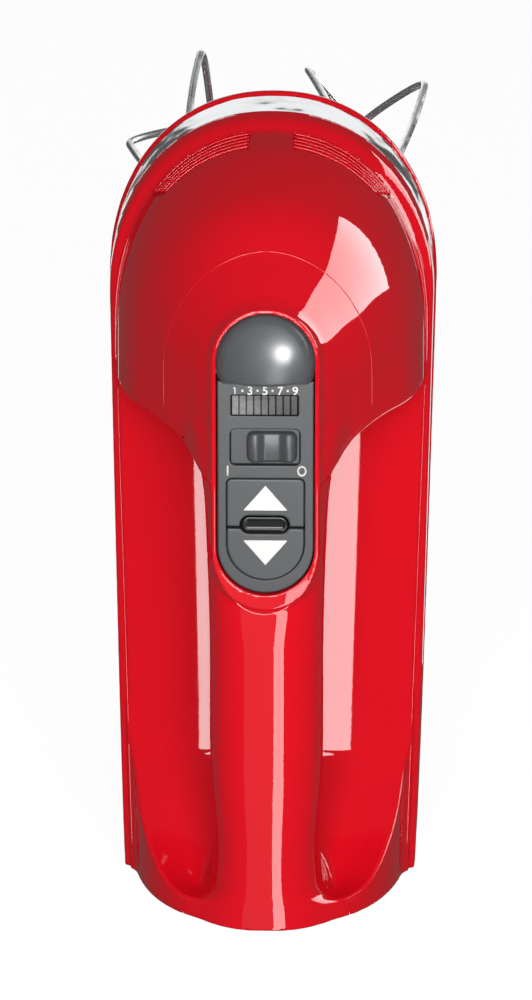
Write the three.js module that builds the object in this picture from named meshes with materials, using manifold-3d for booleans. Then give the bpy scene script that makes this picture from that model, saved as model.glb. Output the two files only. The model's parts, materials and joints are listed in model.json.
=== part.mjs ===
import * as THREE from "three";
import { mergeVertices } from "three/addons/utils/BufferGeometryUtils.js";
import Module from "manifold-3d";

// Hand mixer standing on its heel. X right, +Z up to the nose, -Y to the handle and controls.
// The beaters point along +Y. Depth is measured from the handle top towards the beaters.
const HANDLE_TOP = -106; // Y of the handle top
const BODY_HALF = 44; // belt half width
const TAIL_HALF = 40.2; // belt half width at the heel
const WALL = 2.4;
const GAP = 0.3;
const NOSE_START = 158; // where the straight sides turn into the nose curve
const NOSE_POWER = 2.15;
const BELT_SLOPE = 0.125; // the belt lies deeper towards the nose
const BELT_DEPTH = 66; // belt top edge at Z 150
const BELT_HEIGHT = 6.5;
const CHROME_HEIGHT = 15;
const POD_BOTTOM = 150;
const HOOD_REAR = 129;
const HANDLE_HALF = 15;
const HANDLE_UNDER = 30;
const PANEL_HALF = 13;
const PANEL_LOW = 94.5;
const PANEL_HIGH = 169.8;
const BUTTON_LOW = 151.3;
const ARCH_HALF = 27.3; // the top cover's arched field on the hood
const ARCH_TOP = 182;
const HANDLE_SEAM = 16; // depth of the side seam along the handle
const T_END_HALF = 22.3;

const BEATER_X = 22.7;
const BEATER_Z = 163;
const MOTOR_DEPTH = 106;
const BEATER_RADIUS = 26;
const WIRE_RADIUS = 1.1;
const CAGE_TOP = 158.4;
const CAGE_WIDEST = 249;
const CAGE_TIP = 262;
const CAGE_DRIFT = 0.0045; // angle drift of the wires per mm, mirrored left and right
const LOOP_PHASE = { left: 7, right: 38 };

const GEAR_TEETH = 24;
const WORM_STARTS = 2;
const GEAR_PITCH_R = 16.3;
const WORM_PITCH_R = BEATER_X - GEAR_PITCH_R;
const AXIAL_PITCH = (2 * Math.PI * GEAR_PITCH_R) / GEAR_TEETH;
const WORM_LEAD = AXIAL_PITCH * WORM_STARTS;
const MESH_DEPTH = 0.85; // addendum of worm and gear
const SHAFT_R = 3;
const HUB_R = 7.6;
const HUB_BORE = 4.4;
const PIN_R = 3.4;
const BEATER_SHAFT_R = 3.8;
const PIN_END = 104;

const wasm = await Module();
wasm.setup();
const { Manifold, Mesh } = wasm;

const at = (depth) => depth + HANDLE_TOP;

// ---------- closed solids from rings ----------

function solidOf(geometry) {
  const g = geometry.clone();
  g.deleteAttribute("normal");
  g.deleteAttribute("uv");
  const m = mergeVertices(g, 1e-4);
  const mesh = new Mesh({
    numProp: 3,
    vertProperties: new Float32Array(m.attributes.position.array),
    triVerts: new Uint32Array(m.index.array),
  });
  return new Manifold(mesh);
}

function geometryOf(solid) {
  const mesh = solid.getMesh();
  const g = new THREE.BufferGeometry();
  g.setAttribute("position", new THREE.BufferAttribute(new Float32Array(mesh.vertProperties), 3));
  g.setIndex(new THREE.BufferAttribute(new Uint32Array(mesh.triVerts), 1));
  return g;
}

function ringCentre(ring) {
  const c = [0, 0, 0];
  ring.forEach((p) => p.forEach((v, i) => (c[i] += v / ring.length)));
  return c;
}

// Rings of equal length joined in order and closed with a fan at each end.
function loft(rings) {
  const n = rings[0].length;
  const points = rings.flat();
  const faces = [];
  for (let k = 0; k + 1 < rings.length; k++) {
    for (let i = 0; i < n; i++) {
      const a = k * n + i;
      const b = k * n + ((i + 1) % n);
      faces.push(a, b, b + n, a, b + n, a + n);
    }
  }
  const first = points.length;
  points.push(ringCentre(rings[0]), ringCentre(rings[rings.length - 1]));
  const top = (rings.length - 1) * n;
  for (let i = 0; i < n; i++) {
    const j = (i + 1) % n;
    faces.push(first, j, i, first + 1, top + i, top + j);
  }
  const g = new THREE.BufferGeometry();
  g.setAttribute("position", new THREE.Float32BufferAttribute(points.flat(), 3));
  g.setIndex(faces);
  const solid = solidOf(g);
  if (solid.volume() >= 0) return solid;
  for (let f = 0; f < faces.length; f += 3) {
    [faces[f + 1], faces[f + 2]] = [faces[f + 2], faces[f + 1]];
  }
  g.setIndex(faces);
  return solidOf(g);
}

function box(x0, x1, d0, d1, z0, z1) {
  const g = new THREE.BoxGeometry(x1 - x0, d1 - d0, z1 - z0);
  g.translate((x0 + x1) / 2, at((d0 + d1) / 2), (z0 + z1) / 2);
  return solidOf(g);
}

// Round bar along Y between two depths.
function post(x, z, r, d0, d1, sides = 20, r1 = r) {
  const ring = (radius, depth) =>
    Array.from({ length: sides }, (_, i) => {
      const a = (2 * Math.PI * i) / sides;
      return [x + radius * Math.cos(a), at(depth), z + radius * Math.sin(a)];
    });
  return loft([ring(r, d0), ring(r1, d1)]);
}

// Turned piece about the motor axis from [z, radius] steps.
function turned(steps, sides = 24) {
  return loft(
    steps.map(([z, r]) =>
      Array.from({ length: sides }, (_, i) => {
        const a = (2 * Math.PI * i) / sides;
        return [r * Math.cos(a), at(MOTOR_DEPTH) + r * Math.sin(a), z];
      })
    )
  );
}

function ringAboutMotor(z0, z1, r0, r1, sides = 24) {
  const outer = turned([[z0, r1], [z1, r1]], sides);
  return outer.subtract(turned([[z0 - 1, r0], [z1 + 1, r0]], sides));
}

// ---------- plan outlines (X and Z) ----------

function planOutline(half, noseZ, tailHalf, tailZ, start = NOSE_START, corner = 3) {
  const outline = [];
  outline.push([tailHalf - corner, tailZ]);
  outline.push([tailHalf - corner * 0.25, tailZ + corner * 0.25]);
  outline.push([tailHalf + 0.02, tailZ + corner]);
  outline.push([tailHalf + (half - tailHalf) * 0.5, tailZ + (start - tailZ) * 0.4]);
  outline.push([half - 0.2, tailZ + (start - tailZ) * 0.8]);
  const steps = 18;
  for (let i = 0; i <= steps; i++) {
    const a = (Math.PI * i) / steps;
    const c = Math.cos(a);
    const s = Math.sin(a);
    const x = Math.sign(c) * Math.pow(Math.abs(c), 2 / NOSE_POWER) * half;
    outline.push([x, start + Math.pow(s, 2 / NOSE_POWER) * (noseZ - start)]);
  }
  outline.push([-(half - 0.2), tailZ + (start - tailZ) * 0.8]);
  outline.push([-(tailHalf + (half - tailHalf) * 0.5), tailZ + (start - tailZ) * 0.4]);
  outline.push([-(tailHalf + 0.02), tailZ + corner]);
  outline.push([-(tailHalf - corner * 0.25), tailZ + corner * 0.25]);
  outline.push([-(tailHalf - corner), tailZ]);
  return outline;
}

// One level of a shell: an outline placed at a depth that may slope along Z.
function level(depth, slope, half, noseZ, tailHalf, tailZ, start, corner) {
  const outline = planOutline(half, noseZ, tailHalf, tailZ, start, corner);
  return outline.map(([x, z]) => [x, at(depth + slope * (z - 150)), z]);
}

function capsuleOutline(half, low, high, steps = 10) {
  const outline = [];
  for (let i = 0; i <= steps; i++) {
    const a = (Math.PI * i) / steps;
    outline.push([half * Math.cos(a), high - half + half * Math.sin(a)]);
  }
  for (let i = 0; i <= steps; i++) {
    const a = Math.PI + (Math.PI * i) / steps;
    outline.push([half * Math.cos(a), low + half + half * Math.sin(a)]);
  }
  return outline;
}

function capsule(half, low, high, d0, d1, steps = 10) {
  const ring = (depth) => capsuleOutline(half, low, high, steps).map(([x, z]) => [x, at(depth), z]);
  return loft([ring(d0), ring(d1)]);
}

// ---------- outer body ----------

function hoodSolid(inset, deeper) {
  const levels = [
    [BELT_DEPTH + deeper, BELT_SLOPE, 41.6, 201.8],
    [BELT_DEPTH - 6, 0.11, 41.2, 199.6],
    [52, 0.08, 39.6, 197],
    [43, 0.02, 36.4, 193.6],
    [34, -0.08, 32, 189.2],
    [26.5, -0.2, 28, 183.4],
    [22, -0.22, 25.5, 180],
    [14, -0.16, 20.5, 176],
    [8, -0.08, 17, 173.4],
    [4.4, -0.02, 15.4, 172],
  ];
  return loft(
    levels.map(([d, slope, half, nose], i) => {
      const sunk = i === 0 ? 0 : inset * Math.min(1, i / 4);
      const h = half - inset;
      return level(d + sunk, slope, h, nose - inset, h - 0.5, HOOD_REAR + inset - i * 0.3, 150, 2);
    })
  );
}

// Section of the handle: flattened oval in X and depth.
function ovalSection(half, top, bottom, z, power = 2.6, count = 28) {
  const mid = (top + bottom) / 2;
  const high = (bottom - top) / 2;
  return Array.from({ length: count }, (_, i) => {
    const a = (2 * Math.PI * i) / count;
    const c = Math.cos(a);
    const s = Math.sin(a);
    const x = Math.sign(c) * Math.pow(Math.abs(c), 2 / power) * half;
    return [x, at(mid + Math.sign(s) * Math.pow(Math.abs(s), 2 / power) * high), z];
  });
}

function handleSolid(inset, zLow, zHigh) {
  const sections = [
    [0, 23, 3, 44, 2.6],
    [4, 20.5, 2.6, 41, 2.6],
    [9, 16.2, 2.2, 37, 2.6],
    [18, 14.2, 1.8, 33.5, 2.6],
    [37, 14.7, 1.3, 31, 2.6],
    [70, HANDLE_HALF, 1, HANDLE_UNDER, 2.6],
    [93, 15.5, 1, 30.5, 3],
    [110, 16, 1.4, 32, 3.4],
    [122, 17.2, 1.9, 36, 3.6],
    [132, 18.4, 3, 44, 3.4],
    [140, 17, 8, 50, 3],
  ];
  const kept = sections.filter(([z]) => z >= zLow && z <= zHigh);
  return loft(
    kept.map(([z, half, top, bottom, power]) =>
      ovalSection(half - inset, top + inset, bottom - inset, Math.max(z, zLow), power)
    )
  );
}

// D-shaped heel column, cut by the shoulder slope that forms the end of the finger gap.
function columnSolid(inset) {
  const half = [
    [3, 9], [4.6, 14], [8, 20.8], [13, 26], [18, 29.8], [24, 32.5], [32, 34.9], [42, 36.6], [58, 38],
  ];
  const right = half.map(([d, x]) => [x - inset, d + (d < 20 ? inset : 0)]);
  const left = right.map(([x, d]) => [-x, d]).reverse();
  const ring = (z) => right.concat(left).map(([x, d]) => [x, at(d), z]);
  const prism = loft([ring(0 + (inset ? -1 : 0)), ring(46)]);
  return prism.subtract(shoulderCut(inset));
}

function shoulderCut(inset) {
  const profile = [
    [-20, 4.5], [4, 5], [12, 6.4], [20, 9], [28, 13], [36, 18.5], [43, 25.5], [50, 36], [54, 47],
    [54, 70], [-20, 70],
  ];
  const ring = (x) => profile.map(([d, z]) => [x, at(d), z - inset]);
  return loft([ring(-60), ring(60)]);
}

// Deck between the belts, from the heel to under the hood.
function deckSolid(inset, deeper) {
  const section = (z) => {
    const half = TAIL_HALF - 1.9 + (1.4 * Math.min(z, 130)) / 130 - inset;
    const belt = BELT_DEPTH + BELT_SLOPE * (z - 150);
    const crown = [[half, belt + 1], [half * 0.94, belt - 1.2], [half * 0.7, belt - 3.6], [half * 0.35, belt - 5]];
    const top = crown.map(([x, d]) => [x, d + inset]);
    const mirrored = top.map(([x, d]) => [-x, d]).reverse();
    const low = belt + BELT_HEIGHT + deeper;
    const all = [[half, low], ...top, [0, belt - 5.4 + inset], ...mirrored, [-half, low]];
    return all.map(([x, d]) => [x, at(d), z]);
  };
  return loft([inset ? -1 : 0, 30, 70, 110, 140].map(section));
}

function beltSolid(inset) {
  const rings = [
    [BELT_DEPTH + (inset ? 3.4 : 0), 43.2 - inset, 202.4 - inset, 39.2 - inset],
    [BELT_DEPTH + (inset ? 4.4 : 1.4), BODY_HALF - inset, 204.4 - inset, TAIL_HALF - inset],
    [BELT_DEPTH + BELT_HEIGHT + (inset ? 2 : 0), BODY_HALF - inset, 206 - inset, TAIL_HALF - inset],
  ];
  const tail = inset ? -1 : 0;
  return loft(rings.map(([d, half, nose, th]) => level(d, BELT_SLOPE, half, nose, th, tail, NOSE_START, 0.6)));
}

function panelCollar() {
  const ring = (depth, grow) =>
    capsuleOutline(PANEL_HALF + grow, PANEL_LOW - grow, PANEL_HIGH + grow).map(([x, z]) => [x, at(depth), z]);
  return loft([ring(16, 3.4), ring(5, 2.8), ring(2.2, 2.1), ring(1.3, 1.4)]);
}

function upperOuter() {
  return Manifold.union([
    hoodSolid(0, 0.5),
    deckSolid(0, -0.5),
    beltSolid(0),
    columnSolid(0),
    handleSolid(0, 0, 140),
    panelCollar(),
  ]);
}

function upperInner() {
  return Manifold.union([
    hoodSolid(WALL, 12),
    deckSolid(WALL, 6),
    beltSolid(WALL * 2),
    columnSolid(WALL),
    handleSolid(WALL, 9, 140),
  ]).subtract(box(-60, 60, -20, 200, -5, WALL));
}

// Region that belongs to the top cover: an arched field on the hood, the handle top and a T-shaped heel end.
function coverRegion(grow) {
  const arch = [[18.6, 124.5], [21.5, 127.5], [26.2, 133], [ARCH_HALF, 138], [ARCH_HALF, 148]];
  const steps = 14;
  for (let i = 1; i <= steps / 2; i++) {
    const a = (Math.PI * i) / steps;
    arch.push([ARCH_HALF * Math.cos(a), 148 + (ARCH_TOP - 148) * Math.sin(a)]);
  }
  const grown = arch.map(([x, z], i) => [x < 1 ? x : x + grow, z + (i < 4 ? -grow : grow)]);
  const mirrored = grown.slice(0, -1).map(([x, z]) => [-x, z]).reverse();
  const field = loft([-20, 60].map((d) => grown.concat(mirrored).map(([x, z]) => [x, at(d), z])));
  const handle = box(-24, 24, -20, HANDLE_SEAM + grow, -5, 128);
  const region = field.add(handle);
  const side = T_END_HALF + grow;
  const ends = box(side, 60, -20, 60, -6, 12).add(box(-60, -side, -20, 60, -6, 12));
  return region.subtract(ends).subtract(box(-60, 60, HANDLE_SEAM + grow, 61, -6, 121));
}

function ventCutters() {
  const cutters = [];
  for (let row = 0; row < 5; row++) {
    const d = BELT_DEPTH - 9.2 + row * 2.3;
    const ring = (depth, shrink) => {
      const outline = planOutline(44 - shrink, 203.5 - shrink, 44 - shrink, 150, 152, 1);
      return outline.map(([x, z]) => [x, at(depth + BELT_SLOPE * (z - 150)), z]);
    };
    const outer = loft([ring(d, 0), ring(d + 1.1, 0)]);
    const inner = loft([ring(d - 0.2, 4.3), ring(d + 1.3, 4.3)]);
    cutters.push(outer.subtract(inner));
  }
  const sides = box(5.8, 33, 0, 120, 180, 230).add(box(-33, -5.8, 0, 120, 180, 230));
  return Manifold.union(cutters).intersect(sides);
}

// ---------- lower housing and trim ----------

function podSolid(inset, first) {
  const rim = BELT_DEPTH + BELT_HEIGHT + CHROME_HEIGHT;
  const levels = [
    [rim - first, BELT_SLOPE, 43.4, 206.4, 39.8, 0],
    [rim + 0.6, BELT_SLOPE, 44.5, 208, 40.4, 0],
    [rim + 3.4, BELT_SLOPE, 44.9, 208, 40.6, 0],
    [rim + 12, 0.1, 44.3, 204.6, 40, 0],
    [118, 0.05, 42.9, 199.4, 38.4, 0],
    [132, 0.02, 40.2, 194.8, 35.8, 0.6],
    [142, 0, 35.4, 188.8, 31, 4],
    [147.6, 0, 29.4, 182.4, 25, 10],
    [POD_BOTTOM, 0, 22, 175.5, 17, 17],
  ];
  return loft(
    levels.map(([d, slope, half, nose, tailHalf, tail], i) => {
      const up = inset * Math.max(0, (i - 4) / 4);
      const t = tail + inset;
      return level(d - up, slope, half - inset, nose - inset, tailHalf - inset, t, NOSE_START, 3);
    })
  );
}

function lowerHousing() {
  const shell = podSolid(0, 0).subtract(podSolid(WALL, 4));
  const holes = [-1, 1].map((s) => post(s * BEATER_X, BEATER_Z, 10.6, 138, 156, 28));
  const screws = screwSpots().map(([x, z]) => post(x, z, 3.4, 140, 156, 14));
  const gland = post(0, 26, 6.3, 140, 156, 20);
  const fan = [];
  for (let i = 0; i < 6; i++) {
    const z = 84 + i * 7;
    fan.push(box(-60, -30, 112, 128, z, z + 2.6), box(30, 60, 112, 128, z, z + 2.6));
  }
  const heel = box(-38.6, 38.6, 58.4, 74, 0, WALL);
  return shell.add(heel).subtract(Manifold.union([...holes, ...screws, gland, ...fan]));
}

function trimBand() {
  const top = BELT_DEPTH + BELT_HEIGHT + GAP;
  const bottom = BELT_DEPTH + BELT_HEIGHT + CHROME_HEIGHT - GAP;
  const ring = (depth, half, nose, tail, z) => level(depth, BELT_SLOPE, half, nose, tail, z, NOSE_START, 3);
  const outer = loft([ring(top, 43.4, 205.3, 39.6, 1), ring(bottom, 44.3, 207.3, 40.3, 1)]);
  const inner = loft([ring(top - 1, 41.6, 203.4, 37.8, -8), ring(bottom + 1, 41.6, 203.4, 37.8, -8)]);
  return outer.subtract(inner).subtract(box(-60, 60, 30, 160, -10, 3));
}

function screwSpots() {
  return [[-16, 60], [16, 60], [-16, 112], [16, 112]];
}

// ---------- top cover, mid housing, panel ----------

function shellPieces() {
  const shell = upperOuter().subtract(upperInner());
  const panelHole = capsule(PANEL_HALF + GAP, PANEL_LOW - GAP, PANEL_HIGH + GAP, -10, 17, 12);
  const cover = shell.intersect(coverRegion(0)).subtract(panelHole);
  const mid = shell.subtract(coverRegion(GAP)).subtract(gripPocket()).subtract(ventCutters());
  return { cover: largest(cover), mid: largest(mid) };
}

function largest(solid) {
  const parts = solid.decompose();
  return parts.reduce((a, b) => (a.volume() > b.volume() ? a : b));
}

function gripBlock(grow) {
  const sections = [[34 - grow, 9], [44, 10.4], [70, 10.8], [96, 10.4], [106 + grow, 9]];
  const ring = ([z, half]) => ovalSection(half + grow, 24 - grow, 36 + grow, z, 2.6, 16);
  return loft(sections.map(ring));
}

function gripPocket() {
  const skin = handleSolid(-1, 0, 140).subtract(handleSolid(1.3, 0, 140));
  return gripBlock(0.6).intersect(skin);
}

function gripInsert() {
  const skin = handleSolid(-0.3, 0, 140).subtract(handleSolid(0.8, 0, 140));
  return largest(gripBlock(0).intersect(skin));
}

function panelBezel() {
  const plate = capsule(PANEL_HALF, PANEL_LOW, PANEL_HIGH, 2.4, 6, 12);
  const cuts = [
    box(-9, 8.7, 0, 9, 142.4, 148.2),
    box(-9, 8.7, 0, 9, 129.2, 139),
    capsule(10.6, 98, 126, -2, 9, 12),
    buttonRegion(GAP),
  ];
  return plate.subtract(Manifold.union(cuts));
}

function buttonRegion(grow) {
  const round = capsule(PANEL_HALF + 2, 120, PANEL_HIGH + 2, -5, 12, 12);
  const above = loft(
    [-5, 12].map((d) => {
      const arc = [];
      for (let i = 0; i <= 8; i++) {
        const x = -18 + (36 * i) / 8;
        arc.push([x, at(d), BUTTON_LOW - grow - 0.9 + 1.2 * Math.cos((x / 18) * 1.5)]);
      }
      return arc.concat([[18, at(d), 190], [-18, at(d), 190]]);
    })
  );
  return round.intersect(above);
}

function ejectButton() {
  const dome = [];
  for (const [grow, depth] of [[0, 7.6], [0, 2.6], [-1, 1.3], [-3, 0.2], [-6, -0.6], [-9, -0.9]]) {
    dome.push(capsuleOutline(PANEL_HALF + grow, PANEL_HIGH - 26 - grow, PANEL_HIGH + grow, 10)
      .map(([x, z]) => [x, at(depth), z]));
  }
  const cap = loft(dome).intersect(buttonRegion(0));
  const hollow = box(-8, 8, 4, 12, 153.5, 164.5);
  const stem = post(0, 160, 2.6, 3.5, 69.7, 16);
  return cap.subtract(hollow).add(stem);
}

function powerSlider() {
  const body = box(-5, 8.3, 3.2, 6.4, 130, 138.2);
  const ridges = box(-5, -3.4, 1.6, 4, 130, 138.2).add(box(6.7, 8.3, 1.6, 4, 130, 138.2));
  return body.add(ridges).add(box(0.6, 2.6, 6, 8.6, 133, 135.2));
}

function speedKeys() {
  const lens = ovalPost(0.2, 113.4, 6.9, 3.1, -3, 12);
  const keys = capsule(10.2, 98.4, 125.6, 2, 6.6, 12).subtract(lens);
  const upper = keys.intersect(box(-20, 20, -5, 12, 112.35, 140));
  const lower = keys.intersect(box(-20, 20, -5, 12, 80, 111.95));
  return { upper, lower };
}

function ovalPost(x, z, rx, rz, d0, d1, sides = 20) {
  const ring = (depth) =>
    Array.from({ length: sides }, (_, i) => {
      const a = (2 * Math.PI * i) / sides;
      return [x + rx * Math.cos(a), at(depth), z + rz * Math.sin(a)];
    });
  return loft([ring(d0), ring(d1)]);
}

// ---------- worm, gears and hubs ----------

function threadRadius(u) {
  const v = Math.abs(u - Math.round(u)) * 2; // 0 on the thread, 1 in the gap
  const tip = WORM_PITCH_R + MESH_DEPTH;
  const root = WORM_PITCH_R - MESH_DEPTH - 0.3;
  if (v < 0.3) return tip;
  if (v > 0.62) return root;
  return tip + ((root - tip) * (v - 0.3)) / 0.32;
}

function wormSolid() {
  const sides = 28;
  const rings = [];
  for (let i = 0; i <= 24; i++) {
    const z = BEATER_Z - 8.4 + (16.8 * i) / 24;
    rings.push(
      Array.from({ length: sides }, (_, k) => {
        const a = (2 * Math.PI * k) / sides;
        const r = threadRadius((z - BEATER_Z) / AXIAL_PITCH - (a * WORM_STARTS) / (2 * Math.PI));
        return [r * Math.cos(a), at(MOTOR_DEPTH) + r * Math.sin(a), z];
      })
    );
  }
  return loft(rings);
}

function gearDisc(side) {
  const tip = GEAR_PITCH_R + MESH_DEPTH - 0.05;
  const root = GEAR_PITCH_R - MESH_DEPTH - 0.3;
  const step = (2 * Math.PI) / GEAR_TEETH;
  const facing = side > 0 ? Math.PI : 0;
  const ring = (depth) => {
    const twist = (-(WORM_LEAD / (2 * Math.PI)) / (WORM_PITCH_R * GEAR_PITCH_R)) * (depth - MOTOR_DEPTH);
    const phase = meshPhase();
    const points = [];
    for (let t = 0; t < GEAR_TEETH; t++) {
      for (const [f, r] of [[-0.27, root], [-0.13, tip], [0.13, tip], [0.27, root]]) {
        const a = facing + phase + twist + (t + f) * step;
        points.push([side * BEATER_X + r * Math.cos(a), at(depth), BEATER_Z + r * Math.sin(a)]);
      }
    }
    return points;
  };
  return loft([MOTOR_DEPTH - 4, MOTOR_DEPTH, MOTOR_DEPTH + 4].map(ring));
}

// Tooth position that puts a gear tooth halfway between two worm threads.
function meshPhase() {
  return Math.PI / GEAR_TEETH;
}

function driveGear(side) {
  const x = side * BEATER_X;
  const hub = post(x, BEATER_Z, HUB_R, 94, 148.6, 24);
  const bore = post(x, BEATER_Z, HUB_BORE, 90, 152, 20);
  return gearDisc(side).add(hub).subtract(bore);
}

function gearCase() {
  const tray = box(-36.6, 36.6, 124, 128, 132, 183.5);
  const rear = box(-24, 24, 84, 128, 132, 137);
  const cheeks = box(-6, 6, 116.5, 128, 137, 182);
  const holes = [-1, 1].map((s) => post(s * BEATER_X, BEATER_Z, HUB_R + GAP, 120, 132, 24));
  const corners = box(-40, -27, 120, 130, 166, 190).add(box(27, 40, 120, 130, 166, 190));
  const front = box(-7, 7, 95, 128, 182, 186);
  const bearing = turned([[130, 8.4], [140, 8.4]]);
  const nose = turned([[180, 3.6], [190, 3.6]]);
  return Manifold.union([tray, rear, cheeks, front]).subtract(Manifold.union([...holes, corners, bearing, nose]));
}

function ejectYoke() {
  const plate = box(-28, 28, 70, 73, 157, 169);
  const boss = post(0, 160, 5, 66, 71, 16).subtract(post(0, 160, 2.9, 60, 69.9, 16));
  return plate.add(boss);
}

function coil(radius, wire, d0, d1, turns, x, z) {
  const rings = [];
  const steps = turns * 12;
  for (let i = 0; i <= steps; i++) {
    const a = (2 * Math.PI * i) / 12;
    const d = d0 + ((d1 - d0) * i) / steps;
    rings.push(
      Array.from({ length: 6 }, (_, k) => {
        const b = (2 * Math.PI * k) / 6;
        const r = radius + wire * Math.cos(b);
        return [x + r * Math.cos(a), at(d + wire * Math.sin(b)), z + r * Math.sin(a)];
      })
    );
  }
  return loft(rings);
}

// ---------- beaters ----------

function armRadius(depth) {
  const straight = 4.9 + ((BEATER_RADIUS - 4.9) * (depth - CAGE_TOP)) / (CAGE_WIDEST - CAGE_TOP);
  return Math.max(straight, 4.9);
}

function wireLoop(side, phase, tipLift) {
  const points = [];
  const drift = (depth) => -side * CAGE_DRIFT * (CAGE_WIDEST - depth);
  for (const arm of [0, 1]) {
    const half = [];
    for (const d of [CAGE_TOP, 166, 180, 200, 222, 238, 245]) {
      half.push([armRadius(d), d]);
    }
    half.push([BEATER_RADIUS - 0.5, CAGE_WIDEST], [BEATER_RADIUS - 2.6, CAGE_WIDEST + 3]);
    half.push([BEATER_RADIUS - 8, CAGE_WIDEST + 6.4 - tipLift * 0.4], [9, CAGE_TIP - 2.6 - tipLift]);
    half.push([3, CAGE_TIP - 1.2 - tipLift]);
    const placed = half.map(([r, d]) => {
      const a = (phase * Math.PI) / 180 + arm * Math.PI + drift(d);
      return new THREE.Vector3(side * BEATER_X + r * Math.cos(a), at(d), BEATER_Z + r * Math.sin(a));
    });
    points.push(...(arm ? placed.reverse() : placed));
  }
  const curve = new THREE.CatmullRomCurve3(points, false, "centripetal");
  const sides = 6;
  const count = 44;
  const frames = curve.computeFrenetFrames(count, false);
  const rings = [];
  for (let i = 0; i <= count; i++) {
    const p = curve.getPointAt(i / count);
    rings.push(
      Array.from({ length: sides }, (_, k) => {
        const b = (2 * Math.PI * k) / sides;
        const v = p.clone();
        v.addScaledVector(frames.normals[i], WIRE_RADIUS * Math.cos(b));
        v.addScaledVector(frames.binormals[i], WIRE_RADIUS * Math.sin(b));
        return [v.x, v.y, v.z];
      })
    );
  }
  return loft(rings);
}

function beaterShaft(side) {
  const x = side * BEATER_X;
  const shaft = post(x, BEATER_Z, BEATER_SHAFT_R, PIN_END + GAP, 156, 20);
  const collar = post(x, BEATER_Z, 6.6, 151.4, 158, 20, 7.4);
  const lug = box(x - 0.8, x + 0.8, 120, 128, BEATER_Z - 4.2, BEATER_Z + 4.2);
  return shaft.add(collar).add(lug);
}

function socketCollar(side) {
  const x = side * BEATER_X;
  return post(x, BEATER_Z, 10.3, 145.6, 150.8, 28).subtract(post(x, BEATER_Z, 8, 140, 156, 24));
}

// ---------- motor ----------

function motorFrame() {
  const block = box(-23, 23, 86.5, 125.5, 68, 100);
  const bore = turned([[60, 13.4], [110, 13.4]], 28);
  const windows = box(-17.5, 17.5, 89.5, 96, 60, 110).add(box(-17.5, 17.5, 116, 122.5, 60, 110));
  return block.subtract(bore.add(windows));
}

function fieldCoil(low) {
  const [d0, d1] = low ? [90, 95.6] : [116.4, 122];
  const slot = box(-17, 17, d0, d1, 62, 106);
  const over = box(-12.5, 12.5, d0, d1, 58, 110);
  return slot.add(over).subtract(turned([[50, 13.2], [115, 13.2]], 28));
}

function coolingFan() {
  const disc = turned([[112, 21], [113.4, 21]], 28).add(turned([[109, 6.5], [121, 6.5]], 20));
  const blades = [];
  for (let i = 0; i < 9; i++) {
    const blade = box(6, 20.4, -0.6, 0.6, 113, 120.6).translate([0, -at(0), 0]);
    blades.push(blade.rotate([0, 0, i * 40]).translate([0, at(MOTOR_DEPTH), 0]));
  }
  return Manifold.union([disc, ...blades]).subtract(turned([[100, 3.2], [130, 3.2]], 20));
}

function motorShaft() {
  const shaft = turned([[33, SHAFT_R], [186.5, SHAFT_R]], 20);
  return shaft.add(wormSolid());
}

function armature() {
  const core = turned([[70, 12.6], [98, 12.6]], 24);
  const windings = turned([[62.5, 9], [65, 11.2], [103, 11.2], [106, 9]], 20);
  const slots = [];
  for (let i = 0; i < 8; i++) {
    const a = (i * Math.PI) / 4;
    const g = box(11.6, 14, -0.7, 0.7, 68, 100).translate([0, -at(0), 0]);
    slots.push(g.rotate([0, 0, (a * 180) / Math.PI]).translate([0, at(MOTOR_DEPTH), 0]));
  }
  return core.subtract(Manifold.union(slots)).add(windings).subtract(turned([[50, 3.2], [120, 3.2]], 20));
}

function commutator() {
  return ringAboutMotor(47, 60, 3.2, 8.4, 24);
}

function brush(side) {
  return side > 0
    ? box(8.7, 19, MOTOR_DEPTH - 2.6, MOTOR_DEPTH + 2.6, 50, 57)
    : box(-19, -8.7, MOTOR_DEPTH - 2.6, MOTOR_DEPTH + 2.6, 50, 57);
}

function brushHolder(side) {
  const [x0, x1] = side > 0 ? [10.6, 27] : [-27, -10.6];
  const outer = box(x0, x1, MOTOR_DEPTH - 4.4, MOTOR_DEPTH + 4.4, 48, 59);
  const mouth = side > 0 ? box(5, 20, MOTOR_DEPTH - 2.9, MOTOR_DEPTH + 2.9, 49.7, 57.3)
    : box(-20, -5, MOTOR_DEPTH - 2.9, MOTOR_DEPTH + 2.9, 49.7, 57.3);
  return outer.subtract(mouth);
}

function rearBridge() {
  const bar = box(-34, 34, 96, 116, 37, 41);
  const arms = box(-34, -27.4, 99, 113, 41, 64).add(box(27.4, 34, 99, 113, 41, 64));
  return bar.add(arms).subtract(turned([[30, 8.4], [44, 8.4]], 24));
}

function cordGland() {
  const tube = post(0, 26, 6, 138, 152.4, 20).subtract(post(0, 26, 3.6, 130, 160, 16));
  const flange = post(0, 26, 9, 138, 141, 20).subtract(post(0, 26, 3.6, 130, 160, 16));
  return tube.add(flange);
}

function housingScrew(x, z) {
  return post(x, z, 3, 145.4, 147.6, 14).add(post(x, z, 1.5, 135, 146, 10));
}

// ---------- assembly ----------

const finishes = {
  red: [0x9c0a18, 0.25, 0.0],
  dark: [0x35373a, 0.4, 0.0],
  grey: [0x86898c, 0.4, 0.1],
  chrome: [0xd8dadc, 0.12, 1.0],
  steel: [0xa9acb0, 0.3, 0.9],
  copper: [0xb06a3a, 0.4, 0.8],
  brass: [0xb39a5a, 0.35, 0.9],
  nylon: [0xe6e2d6, 0.5, 0.0],
  black: [0x17181a, 0.3, 0.0],
  board: [0x1f5a38, 0.6, 0.0],
  soft: [0x3c3e40, 0.8, 0.0],
};

const group = new THREE.Group();

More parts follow.
